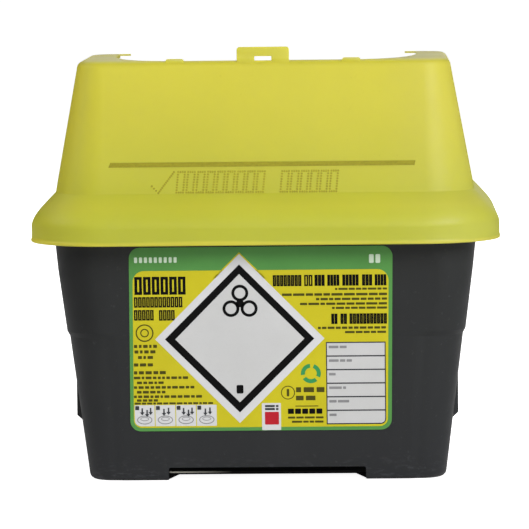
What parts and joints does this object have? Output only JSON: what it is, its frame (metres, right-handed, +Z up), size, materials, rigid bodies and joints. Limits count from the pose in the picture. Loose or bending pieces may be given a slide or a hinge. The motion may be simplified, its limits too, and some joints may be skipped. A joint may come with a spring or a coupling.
{
  "type": "sharps container",
  "caption": "Rectangular sharps bin with a press-on translucent hood, open top mouth, pinned cover flap with a spring catch, and a front label panel",
  "frame": {"origin": "on the ground, under the middle of the whole object's box with the flap hanging open behind the hood", "axes": "+X to the right seen from the label, +Y to the back where the flap hangs, +Z up"},
  "size_m": [0.1844, 0.1354, 0.1704],
  "materials": {
    "charcoal_pp": "fine moulded satin, recycled polypropylene",
    "yellow_pp": "translucent natural polypropylene tinted yellow, soft satin",
    "printed_label": "printed film label, green head, yellow field, grey diamond and form boxes"
  },
  "bodies": {
    "base": {"base_bin": "charcoal_pp", "front_label": "printed_label"},
    "lid": {"lid_hood": "yellow_pp"},
    "flap": {"cover_flap": "yellow_pp"},
    "catch": {"catch_tongue": "yellow_pp"}
  },
  "joints": [
    {"name": "lid_lift", "type": "slide", "parent": "base", "child": "lid", "axis": [0, 0, 1], "range_m": [0, 0.11]},
    {"name": "flap_hinge", "type": "hinge", "parent": "lid", "child": "flap", "pos_m": [0, 0.03592, 0.1591], "axis": [1, 0, 0], "range_deg": [0, 247]},
    {"name": "catch_flex", "type": "hinge", "parent": "flap", "child": "catch", "pos_m": [0, 0.05755, 0.0905], "axis": [1, 0, 0], "range_deg": [0, 30], "stiffness_Nm_per_rad": 0.01}
  ]
}
